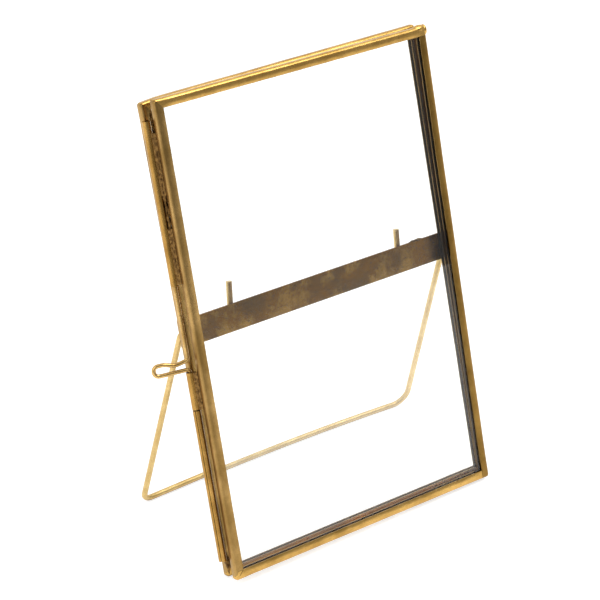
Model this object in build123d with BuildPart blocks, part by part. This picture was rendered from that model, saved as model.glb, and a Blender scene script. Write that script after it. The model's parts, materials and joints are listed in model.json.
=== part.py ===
from build123d import *
from math import acos, asin, atan2, cos, degrees, hypot, radians, sin
import os

# Hinged double-glass photo frame of soldered brass, with a side latch and a folding wire stand.
#
# Two glazed leaves are hinged along their right edge and latched along their left edge by a
# wire bolt that slides in rolled tubes.  A bent wire stand pivots in two knuckles on a cross
# bar behind the back leaf.
#
# Units are millimetres.  +Z is up, +X is to the right seen from the front, the front faces -Y.
# The origin lies on the table under the middle of the whole frame's outline.

# ---- Driving dimensions: the leaves -------------------------------------------------------

OPENING_WIDTH = 102.0           # clear window of each leaf
OPENING_HEIGHT = 152.5
FLANGE = 3.1                    # width of the channel's faces beside the window
LEAF_THICKNESS = 3.0
SHEET = 0.4                     # brass sheet of the channels
EDGE_RADIUS = 0.98              # rolled outer edges of the channels
CORNER_RADIUS = 1.0             # outer corners of the leaf, seen from the front
SEAM_GAP = 0.12                 # open joint line between two channels
LAP_INSET = 1.1                 # the lower left corner's joint line steps in and down by these
LAP_HEIGHT = 1.55
GLASS_THICKNESS = 2.0
GLASS_MARGIN = 2.4              # how far the glass reaches into the channels

LEAN = 16.0                     # how far the standing frame leans back, degrees
AJAR = 1.3                      # the latch tubes keep the closed leaves this far apart, degrees
SKEW = 0.65                     # the front leaf hangs this far out of square, degrees clockwise
FRONT_DROP = 0.5                # and its middle this much lower than the back leaf's
HINGE_GAP = 1.6                 # between the leaves at the hinge

# ---- Driving dimensions: the latch ---------------------------------------------------------
# Spans run along the leaf, from its lower edge.

BOLT_WIRE = 1.4                 # wire diameter of the latch bolt
RUNNING_CLEARANCE = 0.05        # radial, between a wire and its tube
TUBE_DIAMETER = 2.7             # rolled latch tubes
LATCH_OUTSET = 1.0              # tube axis beyond the leaf's left edge
LATCH_DEPTH = 1.85              # tube axis behind the front leaf
UPPER_TUBE = (99.2, 152.0)
UPPER_TUBE_SOLDER = ((99.6, 117.7), (128.3, 148.2))
MIDDLE_TUBE = (58.4, 70.7)
LOWER_TUBE = (6.6, 58.0)
LOWER_TUBE_SOLDER = ((9.0, 55.6),)
TUBE_SEAM = 0.22                # open seam of the rolled lower tube
TUBE_SEAM_HEADING = 217.0       # the seam faces left and forward, degrees from the right
SOLDER_AT_TUBE = 1.5            # width of a solder seam at its tube and at its channel
SOLDER_AT_LEAF = 1.15
LOOP_TURN = 20.0                # the finger loop turned back out of the leaf's plane, degrees

# The latch bolt: how far out from the tubes' axis, and how high, with the bend at each corner.
BOLT_ROUTE = (
    (0, 125.0), (0, 74.8), (4.2, 73.9), (8.0, 75.0), (11.4, 75.0),
    (11.4, 71.6), (3.0, 71.7), (0, 71.7), (0, 38.0),
)
BOLT_BENDS = (1.2, 4.0, 4.0, 1.6, 1.6, 4.0, 1.1)

# ---- Driving dimensions: the hinge ---------------------------------------------------------

HINGE_WIRE = 0.8                # wire diameter of the hinge pin
KNUCKLE_DIAMETER = 1.5
HINGE_OUTSET = 1.1              # hinge axis beyond the front leaf's right edge
BACK_HINGE_OUTSET = 0.86        # and beyond the back leaf's, half way up
UPPER_KNUCKLE = (80.2, 150.0)
LOWER_KNUCKLE = (8.0, 79.8)
KNUCKLE_SOLDER_INSET = 1.5      # the solder stops this short of a knuckle's ends
HINGE_PIN = (7.7, 150.3)

# ---- Driving dimensions: the stand ---------------------------------------------------------

BAR_HEIGHT = 9.0
BAR_SHEET = 0.6
BAR_BOTTOM = 78.2               # above the leaf's lower edge
BAR_LENGTH = 107.0
BAR_LIP = 1.6                   # folded lower edge, front to back
BAR_LIP_LENGTH = 101.2          # the lip stops short of the folded legs

STAND_WIRE = 2.0
STAND_KNUCKLE_DIAMETER = 3.0
STAND_KNUCKLE_LENGTH = 13.0
STAND_KNUCKLE_BASE = (1.6, 0.5) # solder under a knuckle, wide and high
STAND_END_PLAY = 0.7            # sideways, between a knuckle and the peg's bend
STAND_PIVOT_HEIGHT = 82.4       # above the leaf's lower edge, along the leaf
STAND_SHOULDERS = (-51.9, 54.5) # the legs' tops, from the middle of the leaf
STAND_FEET = (-51.7, 61.3)
STAND_LEG = 81.87               # pivot to foot, square to the pivot
FOOT_BOW = (14.0, 2.6)          # the foot is bowed backward: its corner's place, and how far
FOOT_BOW_BEND = 800.0
PEGS = (-33.6, 34.8)
PEG_LENGTHS = (11.9, 10.4)
PEG_SLANTS = (1.1, 0.5)         # the pegs' tips lean to the right
PEG_GAP = 0.15                  # between an opened peg and the bar's top edge
PEG_BEND = 2.0                  # bend radii of the wire's centre line
SHOULDER_BEND = 2.4
LEFT_FOOT_BEND = 3.5
RIGHT_FOOT_BEND = 5.5

# From the middle of the back leaf's lowest edge to the middle of the whole outline.
OUTLINE_CENTRE = (-2.531, 22.46)

# ---- Derived dimensions -------------------------------------------------------------------

LEAF_WIDTH = OPENING_WIDTH + 2 * FLANGE
LEAF_HEIGHT = OPENING_HEIGHT + 2 * FLANGE
HALF_WIDTH = LEAF_WIDTH / 2
HALF_OPENING = OPENING_WIDTH / 2
HINGE_X = HALF_WIDTH + HINGE_OUTSET
LATCH_X = -(HALF_WIDTH + LATCH_OUTSET)
STAND_RADIUS = STAND_WIRE / 2
PIVOT_Z = -(BAR_SHEET + STAND_KNUCKLE_DIAMETER / 2)
EDGE_DROP = EDGE_RADIUS * (cos(radians(LEAN)) + sin(radians(LEAN)) - 1)

# ---- Reference planes ---------------------------------------------------------------------
# A leaf's plane lies on its back face: x to the right, y up the leaf, z to the front,
# from the middle of its lower edge.  The rounded lower edge of the back leaf rests on Z = 0.
# The hinge, the latch and all their tubes run parallel to the front leaf's sides.

back_leaf = Plane(
    origin=(-OUTLINE_CENTRE[0], -OUTLINE_CENTRE[1], -EDGE_DROP),
    x_dir=(1, 0, 0),
    z_dir=(0, -cos(radians(LEAN)), sin(radians(LEAN))),
)


def turned(plane, place, turn, skew=0.0):
    """A plane moved to a place in its own coordinates, turned about its y, then about its z."""
    upright = Axis((0, 0, 0), plane.y_dir)
    x_dir = plane.x_dir.rotate(upright, turn)
    z_dir = plane.z_dir.rotate(upright, turn)
    return Plane(
        origin=plane.from_local_coords(place),
        x_dir=x_dir.rotate(Axis((0, 0, 0), z_dir), skew),
        z_dir=z_dir,
    )


hinge_middle = (
    HALF_WIDTH + BACK_HINGE_OUTSET,
    LEAF_HEIGHT / 2 - FRONT_DROP,
    LEAF_THICKNESS + HINGE_GAP / 2,
)
squared_hinge = turned(back_leaf, hinge_middle, 0, -SKEW)
hinge_plane = turned(squared_hinge, (0, -LEAF_HEIGHT / 2, 0), AJAR)
front_leaf = turned(hinge_plane, (-HINGE_X, 0, HINGE_GAP / 2), 0)
latch_plane = turned(front_leaf, (LATCH_X, 0, -LATCH_DEPTH), 0)
loop_plane = turned(latch_plane, (0, 0, 0), -LOOP_TURN)


def across(leaf, height, x=0.0, z=0.0):
    """The plane that cuts a leaf across at a height: x to the right, y to the back."""
    origin = leaf.from_local_coords((x, height, z))
    return Plane(origin=origin, x_dir=leaf.x_dir, z_dir=leaf.y_dir)


def along(x, height=0.0, z=0.0):
    """The plane that cuts the back leaf from top to bottom: x up the leaf, y to the front."""
    origin = back_leaf.from_local_coords((x, height, z))
    return Plane(origin=origin, x_dir=back_leaf.y_dir, z_dir=back_leaf.x_dir)


# ---- Channels and glass -------------------------------------------------------------------

def rounded_slab(leaf, inset, corner, edge):
    """A slab inside a leaf's outline, with rounded corners and rounded front and back edges."""
    with BuildPart() as slab:
        with BuildSketch(leaf.offset(inset)):
            with Locations((0, LEAF_HEIGHT / 2)):
                RectangleRounded(LEAF_WIDTH - 2 * inset, LEAF_HEIGHT - 2 * inset, corner)
        extrude(amount=LEAF_THICKNESS - 2 * inset)
        faces = slab.faces().sort_by(Axis(leaf.origin, leaf.z_dir))
        fillet(faces[0].edges() + faces[-1].edges(), edge)
    return slab.part


def leaf_shell(leaf, outside):
    """The leaf's whole brass rim: a hollow, round-edged slab with the window cut out."""
    inside = rounded_slab(leaf, SHEET, CORNER_RADIUS - SHEET, EDGE_RADIUS - SHEET)
    with BuildPart() as shell:
        add(outside)
        add(inside, mode=Mode.SUBTRACT)
        with BuildSketch(leaf):
            with Locations((0, LEAF_HEIGHT / 2)):
                Rectangle(OPENING_WIDTH, OPENING_HEIGHT)
        extrude(amount=LEAF_THICKNESS, mode=Mode.SUBTRACT)
    return shell.part


def channel_outlines():
    """Front view of the four channels: mitred, butted and lapped as the corners are soldered."""
    right = HALF_WIDTH
    inner = HALF_OPENING
    low = FLANGE
    high = LEAF_HEIGHT - FLANGE
    top = LEAF_HEIGHT
    step = -right + LAP_INSET
    gap = SEAM_GAP
    return {
        "top": [(-inner, high), (right, high), (right, top), (-right + gap, top)],
        "right": [(inner, 0), (right, 0), (right, high - gap), (inner, high - gap)],
        "bottom": [
            (-inner, low), (-inner, low - gap), (step, low - gap), (-right, LAP_HEIGHT - gap),
            (-right, 0), (inner - gap, 0), (inner - gap, low),
        ],
        "left": [(-inner, low), (step, low), (-right, LAP_HEIGHT), (-right, top - gap), (-inner, high)],
    }


def channel(leaf, shell, outline, name):
    """One side of the rim, cut from the shell by its outline in the front view."""
    with BuildPart() as side:
        add(shell)
        with BuildSketch(leaf):
            with BuildLine():
                Polyline(*outline, close=True)
            make_face()
        extrude(amount=LEAF_THICKNESS, mode=Mode.INTERSECT)
    side.part.label = name
    return side.part


def pane(leaf, name):
    """One sheet of glass, loose in the channels."""
    with BuildPart() as glass:
        with BuildSketch(leaf.offset((LEAF_THICKNESS - GLASS_THICKNESS) / 2)):
            with Locations((0, LEAF_HEIGHT / 2)):
                Rectangle(OPENING_WIDTH + 2 * GLASS_MARGIN, OPENING_HEIGHT + 2 * GLASS_MARGIN)
        extrude(amount=GLASS_THICKNESS)
    glass.part.label = name
    return glass.part


# ---- Rolled tubes on the channels ---------------------------------------------------------

def solder_section(tube_place, channel_corner):
    """Section of a solder seam, from a tube's axis into the rolled corner of a channel."""
    start = Vector(tube_place[0], -tube_place[1])
    corner = Vector(channel_corner.X, -channel_corner.Z)
    heading = (corner - start).normalized()
    side = Vector(-heading.Y, heading.X)
    end = corner - heading * (EDGE_RADIUS - SHEET / 2)
    return [
        start + side * (SOLDER_AT_TUBE / 2),
        end + side * (SOLDER_AT_LEAF / 2),
        end - side * (SOLDER_AT_LEAF / 2),
        start - side * (SOLDER_AT_TUBE / 2),
    ]


def tube_on_leaf(host, slab, corner, place, size, span, solder_spans, seam, name):
    """A tube parallel to the front leaf, soldered to the rolled corner of its host leaf.

    The corner and the place are (x, z) pairs, the first on the host leaf and the second on the
    front leaf.  The size is the outer diameter and the bore.
    """
    x, z = place
    diameter, bore = size
    length = span[1] - span[0]
    with BuildPart() as tube:
        with BuildSketch(across(front_leaf, span[0], x, z)):
            Circle(diameter / 2)
        extrude(amount=length)
        for ends in solder_spans:
            for height in ends:
                rolled = host.from_local_coords((corner[0], height, corner[1]))
                with BuildSketch(across(front_leaf, height)):
                    with BuildLine():
                        Polyline(*solder_section(place, front_leaf.to_local_coords(rolled)), close=True)
                    make_face()
            loft()
        add(slab, mode=Mode.SUBTRACT)
        with BuildSketch(across(front_leaf, span[0], x, z)):
            Circle(bore / 2)
            if seam:
                with Locations(Location((0, 0, 0), (0, 0, TUBE_SEAM_HEADING))):
                    Rectangle(diameter, seam, align=(Align.MIN, Align.CENTER))
        extrude(amount=length, mode=Mode.SUBTRACT)
    tube.part.label = name
    return tube.part


def inset(span):
    """The stretch of a hinge knuckle that is soldered."""
    return (span[0] + KNUCKLE_SOLDER_INSET, span[1] - KNUCKLE_SOLDER_INSET)


def straight_wire(place, span, diameter, name):
    """A straight wire parallel to the front leaf."""
    with BuildPart() as wire:
        with BuildSketch(across(front_leaf, span[0], *place)):
            Circle(diameter / 2)
        extrude(amount=span[1] - span[0])
    wire.part.label = name
    return wire.part


def bent_wire(plane, points, bends, radius, name):
    """A round wire that follows straight runs with a bend at each corner."""
    with BuildPart() as wire:
        with BuildLine(plane) as route:
            FilletPolyline(*points, radius=list(bends))
        path = route.wire()
        with BuildSketch(Plane(origin=path @ 0, z_dir=path % 0)):
            Circle(radius)
        sweep(path=path)
    wire.part.label = name
    return wire.part


# ---- The stand's fittings -----------------------------------------------------------------

def cross_bar():
    """Sheet strip across the back of the side channels, with its lower edge folded back."""
    with BuildPart() as bar:
        with BuildSketch(along(-BAR_LENGTH / 2, BAR_BOTTOM)):
            Rectangle(BAR_HEIGHT, BAR_SHEET, align=(Align.MIN, Align.MAX))
        extrude(amount=BAR_LENGTH)
        with BuildSketch(along(-BAR_LIP_LENGTH / 2, BAR_BOTTOM)):
            Rectangle(BAR_SHEET, BAR_LIP, align=(Align.MIN, Align.MAX))
        extrude(amount=BAR_LIP_LENGTH)
    bar.part.label = "cross_bar"
    return bar.part


def stand_knuckle(low_x, name):
    """A short tube on the cross bar, in which one end of the stand's wire turns."""
    base_width, base_height = STAND_KNUCKLE_BASE
    with BuildPart() as knuckle:
        with BuildSketch(along(low_x, STAND_PIVOT_HEIGHT, PIVOT_Z)):
            Circle(STAND_KNUCKLE_DIAMETER / 2)
            with Locations((0, STAND_KNUCKLE_DIAMETER / 2)):
                Rectangle(base_width, base_height, align=(Align.CENTER, Align.MAX))
            Circle(STAND_RADIUS + RUNNING_CLEARANCE, mode=Mode.SUBTRACT)
        extrude(amount=STAND_KNUCKLE_LENGTH)
    knuckle.part.label = name
    return knuckle.part


def stand_route():
    """The wire's corners: peg, axle, leg, foot, leg, axle, peg, with the stand opened to its stop."""
    pivot = back_leaf.from_local_coords((0, STAND_PIVOT_HEIGHT, PIVOT_Z))
    from_upright = acos((pivot.Z - STAND_RADIUS) / STAND_LEG)
    print("the stand's legs are spread from the leaf by", round(degrees(from_upright) + LEAN, 3))
    foot = Vector(0, pivot.Y + STAND_LEG * sin(from_upright), STAND_RADIUS)
    bar_top = BAR_BOTTOM + BAR_HEIGHT - STAND_PIVOT_HEIGHT
    bar_back = -BAR_SHEET - PIVOT_Z
    stop_turn = asin((STAND_RADIUS + PEG_GAP) / hypot(bar_top, bar_back))
    peg_turn = atan2(bar_back, bar_top) - stop_turn
    halves = []
    sides = zip(PEGS, PEG_LENGTHS, PEG_SLANTS, STAND_SHOULDERS, STAND_FEET)
    for peg_x, peg_length, slant, shoulder_x, foot_x in sides:
        tip_y = STAND_PIVOT_HEIGHT + peg_length * cos(peg_turn)
        tip_z = PIVOT_Z + peg_length * sin(peg_turn)
        halves.append([
            back_leaf.from_local_coords((peg_x + slant, tip_y, tip_z)),
            back_leaf.from_local_coords((peg_x, STAND_PIVOT_HEIGHT, PIVOT_Z)),
            back_leaf.from_local_coords((shoulder_x, STAND_PIVOT_HEIGHT, PIVOT_Z)),
            foot + Vector(foot_x + back_leaf.origin.X, 0, 0),
        ])
    bow = foot + Vector(FOOT_BOW[0] + back_leaf.origin.X, FOOT_BOW[1], 0)
    return halves[0] + [bow] + halves[1][::-1]


# ---- Build the two leaves -----------------------------------------------------------------

pieces = []
slabs = {}

for side, leaf in (("back", back_leaf), ("front", front_leaf)):
    slabs[side] = rounded_slab(leaf, 0, CORNER_RADIUS, EDGE_RADIUS)
    shell = leaf_shell(leaf, slabs[side])
    for place, outline in channel_outlines().items():
        pieces.append(channel(leaf, shell, outline, f"{side}_{place}_channel"))
    pieces.append(pane(leaf, f"{side}_glass"))

# ---- Build the latch and the hinge --------------------------------------------------------
# Tubes of the back leaf lie beside its front edge, tubes of the front leaf beside its back edge.

LATCH_PLACE = (LATCH_X, -LATCH_DEPTH)
LATCH_TUBE = (TUBE_DIAMETER, BOLT_WIRE + 2 * RUNNING_CLEARANCE)
HINGE_PLACE = (HINGE_X, -HINGE_GAP / 2)
KNUCKLE = (KNUCKLE_DIAMETER, HINGE_WIRE + 2 * RUNNING_CLEARANCE)

edge_x = HALF_WIDTH - EDGE_RADIUS
front_host = (front_leaf, slabs["front"])
back_host = (back_leaf, slabs["back"])
front_left = (*front_host, (-edge_x, EDGE_RADIUS))
front_right = (*front_host, (edge_x, EDGE_RADIUS))
back_left = (*back_host, (-edge_x, LEAF_THICKNESS - EDGE_RADIUS))
back_right = (*back_host, (edge_x, LEAF_THICKNESS - EDGE_RADIUS))
upper_solder = (inset(UPPER_KNUCKLE),)
lower_solder = (inset(LOWER_KNUCKLE),)

for edge, place, size, span, solder, seam, name in (
    (front_left, LATCH_PLACE, LATCH_TUBE, UPPER_TUBE, UPPER_TUBE_SOLDER, 0, "upper_latch_tube"),
    (front_left, LATCH_PLACE, LATCH_TUBE, MIDDLE_TUBE, (MIDDLE_TUBE,), 0, "middle_latch_tube"),
    (back_left, LATCH_PLACE, LATCH_TUBE, LOWER_TUBE, LOWER_TUBE_SOLDER, TUBE_SEAM, "lower_latch_tube"),
    (front_right, HINGE_PLACE, KNUCKLE, UPPER_KNUCKLE, upper_solder, 0, "upper_hinge_knuckle"),
    (back_right, HINGE_PLACE, KNUCKLE, LOWER_KNUCKLE, lower_solder, 0, "lower_hinge_knuckle"),
):
    pieces.append(tube_on_leaf(*edge, place, size, span, solder, seam, name))

pieces.append(straight_wire(HINGE_PLACE, HINGE_PIN, HINGE_WIRE, "hinge_pin"))

bolt_points = [(-out, height) for out, height in BOLT_ROUTE]
pieces.append(bent_wire(loop_plane, bolt_points, BOLT_BENDS, BOLT_WIRE / 2, "latch_bolt"))

# ---- Build the stand ----------------------------------------------------------------------

pieces.append(cross_bar())

knuckle_inset = PEG_BEND + STAND_END_PLAY
pieces.append(stand_knuckle(PEGS[0] - knuckle_inset - STAND_KNUCKLE_LENGTH, "left_stand_knuckle"))
pieces.append(stand_knuckle(PEGS[1] + knuckle_inset, "right_stand_knuckle"))

stand_bends = (
    PEG_BEND, SHOULDER_BEND, LEFT_FOOT_BEND, FOOT_BOW_BEND, RIGHT_FOOT_BEND, SHOULDER_BEND, PEG_BEND,
)
pieces.append(bent_wire(Plane.XY, stand_route(), stand_bends, STAND_RADIUS, "stand_wire"))

# ---- Write one STEP file per piece --------------------------------------------------------

os.makedirs("parts", exist_ok=True)
for piece in pieces:
    export_step(piece, f"parts/{piece.label}.step")
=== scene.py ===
import json
from math import cos, pi, radians, sin

import bmesh
import bpy
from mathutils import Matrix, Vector, noise


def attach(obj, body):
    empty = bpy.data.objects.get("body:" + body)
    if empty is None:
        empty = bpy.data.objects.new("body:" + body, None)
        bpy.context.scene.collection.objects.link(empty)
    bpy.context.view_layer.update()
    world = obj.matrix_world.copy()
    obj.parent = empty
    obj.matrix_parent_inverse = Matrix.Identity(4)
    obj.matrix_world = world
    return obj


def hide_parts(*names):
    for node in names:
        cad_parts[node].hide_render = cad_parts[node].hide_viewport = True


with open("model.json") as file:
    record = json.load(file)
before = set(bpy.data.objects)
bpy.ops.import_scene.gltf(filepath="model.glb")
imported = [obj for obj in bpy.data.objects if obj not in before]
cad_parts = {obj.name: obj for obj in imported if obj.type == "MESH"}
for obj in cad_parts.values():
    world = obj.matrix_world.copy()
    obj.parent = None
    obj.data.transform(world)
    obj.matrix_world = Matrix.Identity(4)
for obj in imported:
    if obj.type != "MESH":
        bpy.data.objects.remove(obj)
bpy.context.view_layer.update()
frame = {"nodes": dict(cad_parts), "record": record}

# A glazed brass frame of two hinged leaves, with a side latch and a wire stand.  The channels are
# finely cut copies of the CAD channels with unevenness, and solder is added at the
# seams.  All lengths are in metres, in the frame of the CAD model, unless a comment says
# millimetres.

MM = 0.001

# ---- Places taken from the frame -----------------------------------------------------------

record = frame["record"]
mounts = {mount["name"]: mount for mount in record["mounts"]}
joints = {joint["name"]: joint for joint in record["behaviour"]["joints"]}

LEAF_WIDTH = 108.2 * MM
LEAF_HEIGHT = 158.7 * MM
LEAF_THICKNESS = 3.0 * MM
TUBE_RADIUS = 1.35 * MM
BOLT_PLACE = (-55.1, 0, -1.85)          # on the bolt's line, in the front leaf's own millimetres
MOUNT_HEIGHT = LEAF_HEIGHT - 1.9 * MM   # where the rims' mounts lie on the leaves


class Leaf:
    """A leaf's own axes: x to the right, y up, z to the front, from its lower edge's middle."""

    def __init__(self, mount, upright, front, depth):
        self.y = upright.normalized()
        self.z = front.normalized()
        self.x = self.y.cross(self.z)
        self.origin = Vector(mount["pos_m"]) - self.y * MOUNT_HEIGHT - self.z * depth

    def place(self, x, y, z):
        """A row-frame point from leaf coordinates in millimetres."""
        return self.origin + (self.x * x + self.y * y + self.z * z) * MM


back_front = -Vector(mounts["back_rim"]["axis"])
front_front = Vector(mounts["front_rim"]["axis"])
back_upright = Vector(joints["stand_fold"]["axis"]).cross(back_front)
front_upright = Vector(joints["leaf_hinge"]["axis"])

leaves = {
    "back": Leaf(mounts["back_rim"], back_upright, back_front, 0),
    "front": Leaf(mounts["front_rim"], front_upright, front_front, LEAF_THICKNESS),
}

# ---- Camera --------------------------------------------------------------------------------
# Left of the frame and above it, turned right and down.

CAMERA_PLACE = Vector((-0.40793, -0.54982, 0.44532))
CAMERA_HEADING = Vector((0.52085, 0.70911, -0.47527))
LENS = 142.2
SENSOR = 36.0


def make_camera():
    data = bpy.data.cameras.new("camera")
    data.lens = LENS
    data.sensor_width = SENSOR
    data.clip_start = 0.05
    data.clip_end = 10.0
    camera = bpy.data.objects.new("camera", data)
    bpy.context.scene.collection.objects.link(camera)
    camera.location = CAMERA_PLACE
    camera.rotation_euler = CAMERA_HEADING.to_track_quat("-Z", "Y").to_euler()
    bpy.context.scene.camera = camera


# ---- Materials -----------------------------------------------------------------------------

class Shader:
    """A new material's node tree, with short calls for the nodes used here."""

    def __init__(self, name):
        self.material = bpy.data.materials.new(name)
        self.material.use_nodes = True
        self.tree = self.material.node_tree
        self.shader = self.tree.nodes["Principled BSDF"]
        coordinates = self.tree.nodes.new("ShaderNodeTexCoord")
        self.where = coordinates.outputs["Object"]

    def link(self, output, socket):
        self.tree.links.new(output, socket)

    def stretched(self, scale, turn=(0, 0, 0)):
        """Object coordinates turned and scaled along each axis."""
        mapping = self.tree.nodes.new("ShaderNodeMapping")
        mapping.inputs["Rotation"].default_value = turn
        mapping.inputs["Scale"].default_value = scale
        self.link(self.where, mapping.inputs["Vector"])
        return mapping.outputs["Vector"]

    def noise(self, scale, detail=4.0, roughness=0.55, vector=None):
        node = self.tree.nodes.new("ShaderNodeTexNoise")
        node.inputs["Scale"].default_value = scale
        node.inputs["Detail"].default_value = detail
        node.inputs["Roughness"].default_value = roughness
        self.link(self.where if vector is None else vector, node.inputs["Vector"])
        return node.outputs["Fac"]

    def ramp(self, value, stops):
        """A value sent through a ramp of (position, level) stops."""
        node = self.tree.nodes.new("ShaderNodeValToRGB")
        elements = node.color_ramp.elements
        for element, (position, level) in zip(elements, stops):
            element.position = position
            element.color = (level, level, level, 1)
        self.link(value, node.inputs["Fac"])
        return node.outputs["Color"]

    def mix(self, factor, first, second):
        """Two colours mixed by a factor; each colour is an output or three numbers."""
        node = self.tree.nodes.new("ShaderNodeMix")
        node.data_type = "RGBA"
        sockets = (node.inputs[0], node.inputs[6], node.inputs[7])
        for value, socket in zip((factor, first, second), sockets):
            if isinstance(value, tuple):
                socket.default_value = (*value, 1)
            else:
                self.link(value, socket)
        return node.outputs[2]

    def level(self, value, low, high):
        """A value from 0 to 1 brought to a range."""
        node = self.tree.nodes.new("ShaderNodeMapRange")
        node.inputs["To Min"].default_value = low
        node.inputs["To Max"].default_value = high
        self.link(value, node.inputs["Value"])
        return node.outputs["Result"]

    def off_line(self, point, way):
        """The distance from a line, given by a point and a direction."""
        value = self.where
        for operation, constant in (("SUBTRACT", point), ("CROSS_PRODUCT", way), ("LENGTH", None)):
            node = self.tree.nodes.new("ShaderNodeVectorMath")
            node.operation = operation
            if constant is not None:
                node.inputs[1].default_value = constant
            self.link(value, node.inputs[0])
            value = node.outputs["Value" if operation == "LENGTH" else "Vector"]
        return value

    def above(self, value, edge):
        """1 where a value is above an edge, and 0 elsewhere."""
        node = self.tree.nodes.new("ShaderNodeMath")
        node.operation = "GREATER_THAN"
        node.inputs[1].default_value = edge
        self.link(value, node.inputs[0])
        return node.outputs["Value"]

    def hollow_shade(self, reach):
        """1 on open surfaces, falling to 0 in hollows; the mask for painted shade."""
        node = self.tree.nodes.new("ShaderNodeAmbientOcclusion")
        node.inputs["Distance"].default_value = reach
        node.samples = 8
        return node.outputs["AO"]

    def bump(self, height, strength, distance, below=None):
        node = self.tree.nodes.new("ShaderNodeBump")
        node.inputs["Strength"].default_value = strength
        node.inputs["Distance"].default_value = distance
        self.link(height, node.inputs["Height"])
        if below is not None:
            self.link(below, node.inputs["Normal"])
        return node.outputs["Normal"]


LEAN_TURN = (radians(-16.0), 0, 0)      # turns the row frame to the back leaf's axes

# Scales of a noise along x, y and z: the small one draws it out into scratches that way.
ALONG_UPRIGHT = (1.0, 1.0, 0.07)
ALONG_LEVEL = (0.07, 1.0, 1.0)
ALONG_BAR = (0.16, 1.0, 1.0)
EVERY_WAY = (1.0, 1.0, 1.0)

# Base colours.
SOLDER_TOP = (0.26, 0.145, 0.045)
SOLDER_MIDDLE = (0.075, 0.038, 0.013)
# The near-black of the solder's painted shade.
SOLDER_PAINTED_SHADE = (0.035, 0.020, 0.010)
BAR_BROWN = (0.29, 0.130, 0.012)
BAR_CLOUD = (0.20, 0.105, 0.028)
BAR_RUBBED = (0.50, 0.275, 0.060)
BAR_SCRATCH = (0.08, 0.04, 0.012)
BAR_PIT = (0.14, 0.09, 0.05)


def aged_brass(name, bright, middle, dark, roughness, grain, mottle=70.0, wear=0.16, tube=None):
    """Brass with cloudy tarnish, fine scratches and painted shade in its hollows.

    A tube is given by a point and the direction of its line, and a radius; outside it is solder.
    """
    make = Shader(name)
    clouds = make.noise(mottle, detail=5.0, roughness=0.60)
    grains = make.noise(2600.0, detail=3.0, roughness=0.65)
    specks = make.noise(1500.0, detail=2.0, roughness=0.5)
    drawn = make.noise(3200.0, detail=3.0, roughness=0.7, vector=make.stretched(grain, LEAN_TURN))

    color = make.mix(make.ramp(clouds, ((0.38, 0.0), (0.62, 1.0))), middle, bright)
    color = make.mix(make.ramp(drawn, ((0.38, wear), (0.55, 0.0))), color, dark)
    color = make.mix(make.ramp(grains, ((0.34, 0.24), (0.50, 0.0))), color, dark)
    color = make.mix(make.ramp(specks, ((0.24, 0.8), (0.29, 0.0))), color, dark)
    if tube:
        point, way, radius = tube
        lumps = make.noise(1100.0, detail=6.0, roughness=0.7)
        brown = make.mix(make.ramp(lumps, ((0.40, 0.0), (0.62, 1.0))), SOLDER_MIDDLE, SOLDER_TOP)
        color = make.mix(make.above(make.off_line(point, way), radius), color, brown)
    # Painted shade: in hollows and between parts the brass goes to its dark tone.
    color = make.mix(make.ramp(make.hollow_shade(2.2 * MM), ((0.30, 1.0), (0.85, 0.0))), color, dark)
    make.link(color, make.shader.inputs["Base Color"])

    make.link(make.level(clouds, roughness + 0.10, roughness - 0.07), make.shader.inputs["Roughness"])
    make.shader.inputs["Metallic"].default_value = 1.0
    grained = make.bump(grains, strength=0.10, distance=0.02 * MM)
    lined = make.bump(drawn, strength=0.10, distance=0.02 * MM, below=grained)
    normal = make.bump(clouds, strength=0.25, distance=0.20 * MM, below=lined)
    make.link(normal, make.shader.inputs["Normal"])
    return make.material


def solder(name):
    """Lumpy solder, brown where its lumps are low and lighter on their tops, with painted shade in its
    hollows.
    """
    make = Shader(name)
    lumps = make.noise(700.0, detail=5.0, roughness=0.6)
    color = make.mix(make.ramp(lumps, ((0.38, 0.0), (0.62, 1.0))), SOLDER_MIDDLE, SOLDER_TOP)
    # Painted shade: the solder goes to near-black in its hollows.
    color = make.mix(make.ramp(make.hollow_shade(1.0 * MM), ((0.3, 1.0), (0.85, 0.0))), color, SOLDER_PAINTED_SHADE)
    make.link(color, make.shader.inputs["Base Color"])
    make.link(make.level(lumps, 0.62, 0.38), make.shader.inputs["Roughness"])
    make.shader.inputs["Metallic"].default_value = 1.0
    make.link(make.bump(lumps, strength=0.5, distance=0.2 * MM), make.shader.inputs["Normal"])
    return make.material


def tarnished_bar(name):
    """The cross bar: brown brass with darker clouds, rubbed patches, scratches and pits."""
    make = Shader(name)
    clouds = make.noise(38.0, detail=7.0, roughness=0.66)
    patches = make.noise(95.0, detail=6.0, roughness=0.7)
    drawn = make.noise(900.0, detail=6.0, roughness=0.8, vector=make.stretched(ALONG_BAR, LEAN_TURN))
    pits = make.noise(1400.0, detail=3.0, roughness=0.6)
    color = make.mix(make.ramp(clouds, ((0.42, 0.0), (0.56, 1.0))), BAR_BROWN, BAR_CLOUD)
    color = make.mix(make.ramp(patches, ((0.48, 0.0), (0.60, 0.9))), color, BAR_RUBBED)
    color = make.mix(make.ramp(drawn, ((0.34, 0.35), (0.50, 0.0))), color, BAR_SCRATCH)
    color = make.mix(make.ramp(pits, ((0.33, 0.9), (0.42, 0.0))), color, BAR_PIT)
    make.link(color, make.shader.inputs["Base Color"])
    make.link(make.level(clouds, 0.34, 0.52), make.shader.inputs["Roughness"])
    make.shader.inputs["Metallic"].default_value = 1.0
    scratched = make.bump(drawn, strength=0.12, distance=0.03 * MM)
    normal = make.bump(patches, strength=0.25, distance=0.15 * MM, below=scratched)
    make.link(normal, make.shader.inputs["Normal"])
    return make.material


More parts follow.
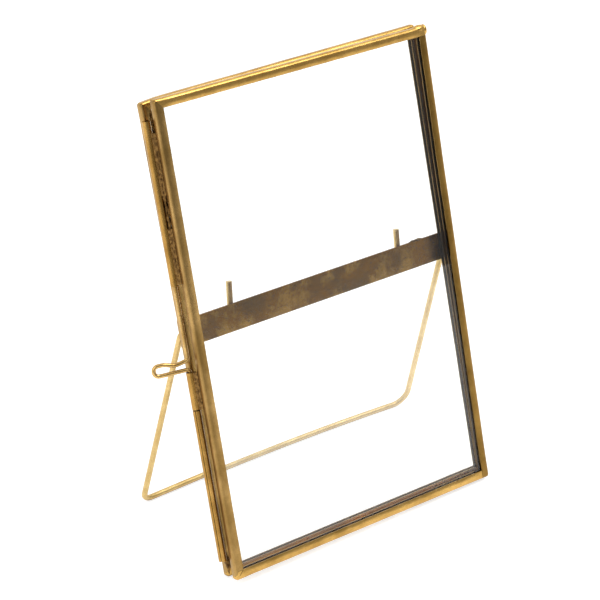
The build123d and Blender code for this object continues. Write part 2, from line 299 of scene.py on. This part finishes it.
def clear_glass(name):
    """Clear float glass with a very faint unevenness."""
    make = Shader(name)
    make.shader.inputs["Base Color"].default_value = (0.985, 0.995, 0.99, 1)
    make.link(make.level(make.noise(40.0, detail=2.0), 0.0, 0.012), make.shader.inputs["Roughness"])
    make.shader.inputs["IOR"].default_value = 1.45
    make.shader.inputs["Transmission Weight"].default_value = 1.0
    return make.material


# Bright, middle and dark base colours of each brass. The rim's sides are one brass, and their tones hold
# painted light and shade: the top and bottom lightest, the left darker, the right darkest.
LEVEL_LIT_TONES = ((0.70, 0.43, 0.125), (0.46, 0.265, 0.066), (0.13, 0.070, 0.020))
LEFT_HALF_LIT_TONES = ((0.50, 0.315, 0.112), (0.29, 0.172, 0.050), (0.09, 0.050, 0.018))
RIGHT_SHADED_TONES = ((0.34, 0.198, 0.050), (0.22, 0.124, 0.027), (0.08, 0.045, 0.015))
TUBE_TONES = ((0.58, 0.34, 0.095), (0.36, 0.195, 0.045), (0.10, 0.055, 0.018))
WIRE_TONES = ((0.74, 0.54, 0.23), (0.60, 0.41, 0.155), (0.26, 0.16, 0.07))
LATCH_TONES = ((0.70, 0.46, 0.17), (0.48, 0.29, 0.09), (0.16, 0.09, 0.03))

# The tubes lie round the bolt's line; what is further out on their nodes is solder.
SKIN = 0.02 * MM                        # how far outside a tube its solder begins
bolt_point = leaves["front"].place(*BOLT_PLACE)
bolt_line = (bolt_point, joints["bolt_slide"]["axis"], TUBE_RADIUS + SKIN)

materials = {
    # Painted light and shade: each side of the rim is the same brass at its own brightness.
    "left": aged_brass("rim_brass_left_half_lit", *LEFT_HALF_LIT_TONES, 0.27, ALONG_UPRIGHT),
    "right": aged_brass("rim_brass_right_shaded", *RIGHT_SHADED_TONES, 0.30, ALONG_UPRIGHT),
    "level": aged_brass("rim_brass_level_lit", *LEVEL_LIT_TONES, 0.27, ALONG_LEVEL),
    "tube_brass": aged_brass("tube_brass", *TUBE_TONES, 0.24, ALONG_UPRIGHT),
    "latch_tube": aged_brass("latch_tube_brass", *TUBE_TONES, 0.22, ALONG_UPRIGHT, tube=bolt_line),
    "wire_brass": aged_brass("wire_brass", *WIRE_TONES, 0.30, EVERY_WAY, mottle=160.0, wear=0.3),
    "latch_brass": aged_brass("latch_brass", *LATCH_TONES, 0.24, EVERY_WAY, mottle=200.0, wear=0.3),
    "bar_brass": tarnished_bar("bar_brass"),
    "glass": clear_glass("clear_glass"),
    "solder": solder("brown_solder"),
}

# ---- Channels ------------------------------------------------------------------------------

CUT_LENGTH = 2.2 * MM               # between the cuts across a channel
MERGE = 2e-6                        # closer points of a channel's mesh are joined
CUT_SNAP = 1e-7
SMOOTH_ANGLE = radians(32)

# In millimetres from here to the end of this section's constants.
FACE_CUTS = (0.98, 1.3, 1.6, 1.9, 2.2, 2.5, 2.8)    # along a channel, from its outer edge
CROWN = 0.16                        # the faces are domed this much
DOME_START = 0.4                    # from a channel's outer edge
DOME_SPAN = 2.7
EASE = 0.04                         # the whole face is lowered this much
SWAY = 0.10                         # slow unevenness of a channel's line
RIPPLE = 0.035                      # quick unevenness of its surface
STILL_END = 1.0                     # a channel's ends keep their shape over this run
END_RUN = 6.0                       # and the unevenness grows to its full size over this one
DROOP_CORNER = (-54.1, 158.7, 1.5)  # the back leaf sags here
DROOP = 0.7
DROOP_REACH = 9.0

# Waves to a millimetre of the unevenness, and where its noise is read.
SWAY_WAVE = 0.045
SIDE_SWAY_WAVE = 0.06
RIPPLE_WAVES = (0.35, 0.5, 0.4)     # along, across and through a channel
SIDE_SWAY_LEAN = 0.6                # the side sway mostly goes inward
SEED_STEP = 3.1
SEEDS = {"front": 7.7, "back": 2.3}


def finished(mesh, name, body, material):
    """Turns a bmesh into a smooth-shaded piece that rides on a body."""
    bmesh.ops.recalc_face_normals(mesh, faces=mesh.faces[:])
    for edge in mesh.edges:
        edge.smooth = edge.is_manifold and edge.calc_face_angle(0) < SMOOTH_ANGLE
    for face in mesh.faces:
        face.smooth = True
    data = bpy.data.meshes.new(name)
    mesh.to_mesh(data)
    mesh.free()
    piece = bpy.data.objects.new(name, data)
    bpy.context.scene.collection.objects.link(piece)
    data.materials.append(material)
    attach(piece, body)
    return piece


def cut(mesh, point, normal):
    """Cuts every face of a mesh along a plane."""
    parts = mesh.verts[:] + mesh.edges[:] + mesh.faces[:]
    bmesh.ops.bisect_plane(mesh, geom=parts, dist=CUT_SNAP, plane_co=point, plane_no=normal)


def channel_piece(side, place):
    """One side of a leaf's rim, cut finely and made slightly uneven."""
    name = f"{side}_{place}_channel"
    leaf = leaves[side]
    run, inward, left, low, length = {
        "left": (leaf.y, leaf.x, -LEAF_WIDTH / 2, 0, LEAF_HEIGHT),
        "right": (leaf.y, -leaf.x, LEAF_WIDTH / 2, 0, LEAF_HEIGHT),
        "bottom": (leaf.x, leaf.y, -LEAF_WIDTH / 2, 0, LEAF_WIDTH),
        "top": (leaf.x, -leaf.y, -LEAF_WIDTH / 2, LEAF_HEIGHT, LEAF_WIDTH),
    }[place]
    edge = leaf.origin + leaf.x * left + leaf.y * low

    mesh = bmesh.new()
    mesh.from_mesh(frame["nodes"][name].data)
    bmesh.ops.remove_doubles(mesh, verts=mesh.verts, dist=MERGE)
    for step in range(1, int(length / CUT_LENGTH)):
        cut(mesh, edge + run * (step * CUT_LENGTH), run)
    for depth in FACE_CUTS:
        cut(mesh, edge + inward * (depth * MM), inward)

    seed = Vector((SEED_STEP * len(place), SEEDS[side], 0))
    corner = leaf.place(*DROOP_CORNER)
    for vertex in mesh.verts:
        away = (vertex.co - edge) / MM
        along = away.dot(run)
        depth = away.dot(inward)
        height = away.dot(leaf.z)
        ends = min(1.0, max(0.0, (min(along, length / MM - along) - STILL_END) / END_RUN))
        slow = noise.noise(Vector((along * SWAY_WAVE, 0, 0)) + seed)
        slow_out = noise.noise(Vector((along * SIDE_SWAY_WAVE, 9, 4)) + seed)
        ripples = Vector([d * w for d, w in zip((along, depth, height), RIPPLE_WAVES)])
        quick = noise.noise(ripples + seed)
        domed = sin(pi * min(1.0, max(0.0, (depth - DOME_START) / DOME_SPAN)))
        facing = 1 if height > LEAF_THICKNESS / MM / 2 else -1
        push = facing * (RIPPLE * quick + CROWN * domed - EASE) + SWAY * slow
        shift = max(0.0, 0.5 * SWAY * (slow_out + SIDE_SWAY_LEAN) + RIPPLE * quick)
        near = max(0.0, 1.0 - (vertex.co - corner).length / (DROOP_REACH * MM))
        vertex.co += (leaf.z * push + inward * shift) * (ends * MM)
        if side == "back":
            vertex.co -= leaf.y * (DROOP * near ** 2 * MM)
    bmesh.ops.triangulate(mesh, faces=mesh.faces[:])
    # Each side gets the brass that carries its painted light or shade.
    finish = materials[place if place in ("left", "right") else "level"]
    piece = finished(mesh, f"{name}_sheet", f"{side}_leaf", finish)
    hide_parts(name)


# ---- Solder --------------------------------------------------------------------------------
# Leaf points and sizes in this section are in millimetres.

RING = 12                           # points round a bead of solder
BEAD_STEP = 0.35                    # between the rings of a bead
TAPER = 3.5                         # a bead thins out over this many of its radii
THIN_END = 0.12                     # to this share of its thickness
BEAD_WAVES = (0.8, 1.3)             # of a bead's lumps, along and round it
FINE_BEAD_WAVES = (2.3, 3)
FINE_BEAD_SHARE = 0.5
BLOB_DETAIL = 4
BLOB_WAVE = 1.6
FINE_BLOB_WAVE = 4.0
FINE_BLOB_SHARE = 0.4
SIDEWAYS = Vector((0.3, 0.2, 1))    # any direction that no bead runs along
TOP_LEFT_HEIGHTS = {"front": 157.9, "back": 157.3}


def bead(leaf, start, end, radius, name, lumps=0.3, seed=0.0, finish="solder"):
    """A lumpy run of solder between two points of a leaf."""
    first = Vector(start)
    run = Vector(end) - first
    length = run.length
    heading = run.normalized()
    side = heading.cross(SIDEWAYS).normalized()
    other = heading.cross(side)
    steps = max(6, int(length / BEAD_STEP))
    mesh = bmesh.new()
    rings = []
    for step in range(steps + 1):
        along = length * step / steps
        fullness = min(along, length - along) / (TAPER * radius)
        taper = min(1.0, THIN_END + (1 - THIN_END) * fullness)
        ring = []
        for point in range(RING):
            turn = 2 * pi * point / RING
            way = side * cos(turn) + other * sin(turn)
            run_wave, round_wave = BEAD_WAVES
            place = (along * run_wave + seed, round_wave * way.x, round_wave * way.y + way.z)
            run_wave, round_wave = FINE_BEAD_WAVES
            fine = (along * run_wave + seed, round_wave * way.x, round_wave * way.y)
            lump = noise.noise(Vector(place)) + FINE_BEAD_SHARE * noise.noise(Vector(fine))
            spot = first + heading * along + way * (radius * taper * (1 + lumps * lump))
            ring.append(mesh.verts.new(leaves[leaf].place(*spot)))
        rings.append(ring)
    for lower, higher in zip(rings, rings[1:]):
        for point in range(RING):
            after = (point + 1) % RING
            mesh.faces.new((lower[point], lower[after], higher[after], higher[point]))
    mesh.faces.new(rings[0][::-1])
    mesh.faces.new(rings[-1])
    finished(mesh, name, f"{leaf}_leaf", materials[finish])


def blob(leaf, centre, size, name, finish="level", lumps=0.25, seed=0.0):
    """A rounded lump with its own half-sizes along the leaf's axes."""
    mesh = bmesh.new()
    bmesh.ops.create_icosphere(mesh, subdivisions=BLOB_DETAIL, radius=1.0)
    for vertex in mesh.verts:
        way = vertex.co.normalized()
        swell = 1 + lumps * noise.noise(way * BLOB_WAVE + Vector((seed, 0, 0)))
        swell += FINE_BLOB_SHARE * lumps * noise.noise(way * FINE_BLOB_WAVE + Vector((0, seed, 0)))
        spot = Vector(centre) + Vector([s * w for s, w in zip(size, way)]) * swell
        vertex.co = leaves[leaf].place(*spot)
    finished(mesh, name, f"{leaf}_leaf", materials[finish])


def make_solder():
    bead("front", (-54.1, 99.4, -0.25), (-54.1, 148.4, -0.25), 0.60, "upper_tube_solder", 0.5)
    bead("front", (-54.1, 58.4, -0.25), (-54.1, 70.8, -0.25), 0.58, "middle_tube_solder", 0.5, 4.0)
    bead("back", (-54.0, 9.5, 3.05), (-54.0, 55.0, 3.05), 0.50, "lower_tube_solder", seed=9.0)
    bead("back", (-53.4, 1.2, 3.0), (-53.2, 8.6, 3.1), 0.85, "lower_corner_solder", 0.5, 14.0)
    bead("back", (-50.9, 112.0, 3.0), (-50.9, 155.8, 3.0), 0.55, "upper_inner_solder", 0.25, 30.0)
    for leaf in leaves:
        top_left = (-53.2, TOP_LEFT_HEIGHTS[leaf], 1.5)
        blob(leaf, top_left, (0.75, 0.75, 1.2), f"{leaf}_top_left_solder", seed=1.0)
        blob(leaf, (53.2, 155.5, 1.5), (0.75, 0.4, 1.2), f"{leaf}_top_right_solder", seed=2.0)
        blob(leaf, (51.0, 0.9, 1.5), (0.4, 0.75, 1.2), f"{leaf}_lower_right_solder", seed=3.0)
    blob("back", (-53.3, 1.6, 1.5), (0.75, 0.5, 1.2), "back_lower_left_solder", seed=5.0)
    bead("front", (-52.9, 1.3, 2.95), (-51.0, 3.1, 3.00), 0.12, "lower_left_seam", 0.2, 17.0)
    blob("front", (52.0, 157.8, 1.55), (3.1, 1.5, 1.52), "top_right_fold", lumps=0.06, seed=6.0)
    blob("front", (53.9, 157.2, 1.55), (1.15, 1.9, 1.45), "top_right_lip", lumps=0.06, seed=8.0)
    bead("back", (38.6, 87.1, -0.45), (45.0, 87.15, -0.45), 0.42, "bar_top_solder", 1.0, 21.0, "left")


make_camera()

for entry in record["subparts"]:
    name = entry["node"]
    finish = entry["material_slot"]
    if name.endswith("channel"):
        finish = "left"
    elif name == "latch_bolt":
        finish = "latch_brass"
    elif name.endswith("latch_tube"):
        finish = "latch_tube"
    node = frame["nodes"][name]
    node.data.materials.clear()
    node.data.materials.append(materials[finish])

for side in leaves:
    for place in ("top", "bottom", "left", "right"):
        channel_piece(side, place)

make_solder()

# ---- Floor and light -----------------------------------------------------------------------

FLOOR_SIZE = 6.0
FLOOR_PLACE = (0, 1.5, 0)
FLOOR_WHITE = 0.60
FLOOR_GLOW = 0.68                   # its own light, which brings it to the photo's white
WORLD_STOPS = ((0.02, 0.21), (0.60, 1.0))   # from the front to the back, position and level
WORLD_STRENGTH = 1.15
AIM = (0, 0, 0.08)                  # where both lights point


def make_floor():
    bpy.ops.mesh.primitive_plane_add(size=FLOOR_SIZE, location=FLOOR_PLACE)
    floor = bpy.context.object
    floor.name = "floor"
    make = Shader("floor_paper")
    make.shader.inputs["Base Color"].default_value = (FLOOR_WHITE, FLOOR_WHITE, FLOOR_WHITE, 1)
    make.shader.inputs["Roughness"].default_value = 0.9
    make.shader.inputs["Specular IOR Level"].default_value = 0.0
    make.shader.inputs["Emission Color"].default_value = (1, 1, 1, 1)
    make.shader.inputs["Emission Strength"].default_value = FLOOR_GLOW
    floor.data.materials.append(make.material)


def area_light(name, place, size, power):
    data = bpy.data.lights.new(name, "AREA")
    data.shape = "RECTANGLE"
    data.size, data.size_y = size
    data.energy = power
    light = bpy.data.objects.new(name, data)
    bpy.context.scene.collection.objects.link(light)
    light.location = place
    light.rotation_euler = (Vector(AIM) - Vector(place)).to_track_quat("-Z", "Y").to_euler()


def make_world():
    """A studio that is bright behind and darker in front."""
    world = bpy.data.worlds.new("world")
    bpy.context.scene.world = world
    world.use_nodes = True
    tree = world.node_tree
    where = tree.nodes.new("ShaderNodeTexCoord")
    parts = tree.nodes.new("ShaderNodeSeparateXYZ")
    shift = tree.nodes.new("ShaderNodeMapRange")
    ramp = tree.nodes.new("ShaderNodeValToRGB")
    shift.inputs["From Min"].default_value = -1.0
    for element, (position, level) in zip(ramp.color_ramp.elements, WORLD_STOPS):
        element.position = position
        element.color = (level, level, level, 1)
    background = tree.nodes["Background"]
    background.inputs["Strength"].default_value = WORLD_STRENGTH
    tree.links.new(where.outputs["Generated"], parts.inputs["Vector"])
    tree.links.new(parts.outputs["Y"], shift.inputs["Value"])
    tree.links.new(shift.outputs["Result"], ramp.inputs["Fac"])
    tree.links.new(ramp.outputs["Color"], background.inputs["Color"])


make_floor()
make_world()
area_light("key", (0.35, -0.35, 0.95), size=(0.5, 0.5), power=5)
area_light("fill", (-0.9, -0.5, 0.7), size=(0.5, 0.7), power=3)
bpy.context.scene.view_settings.view_transform = "Standard"
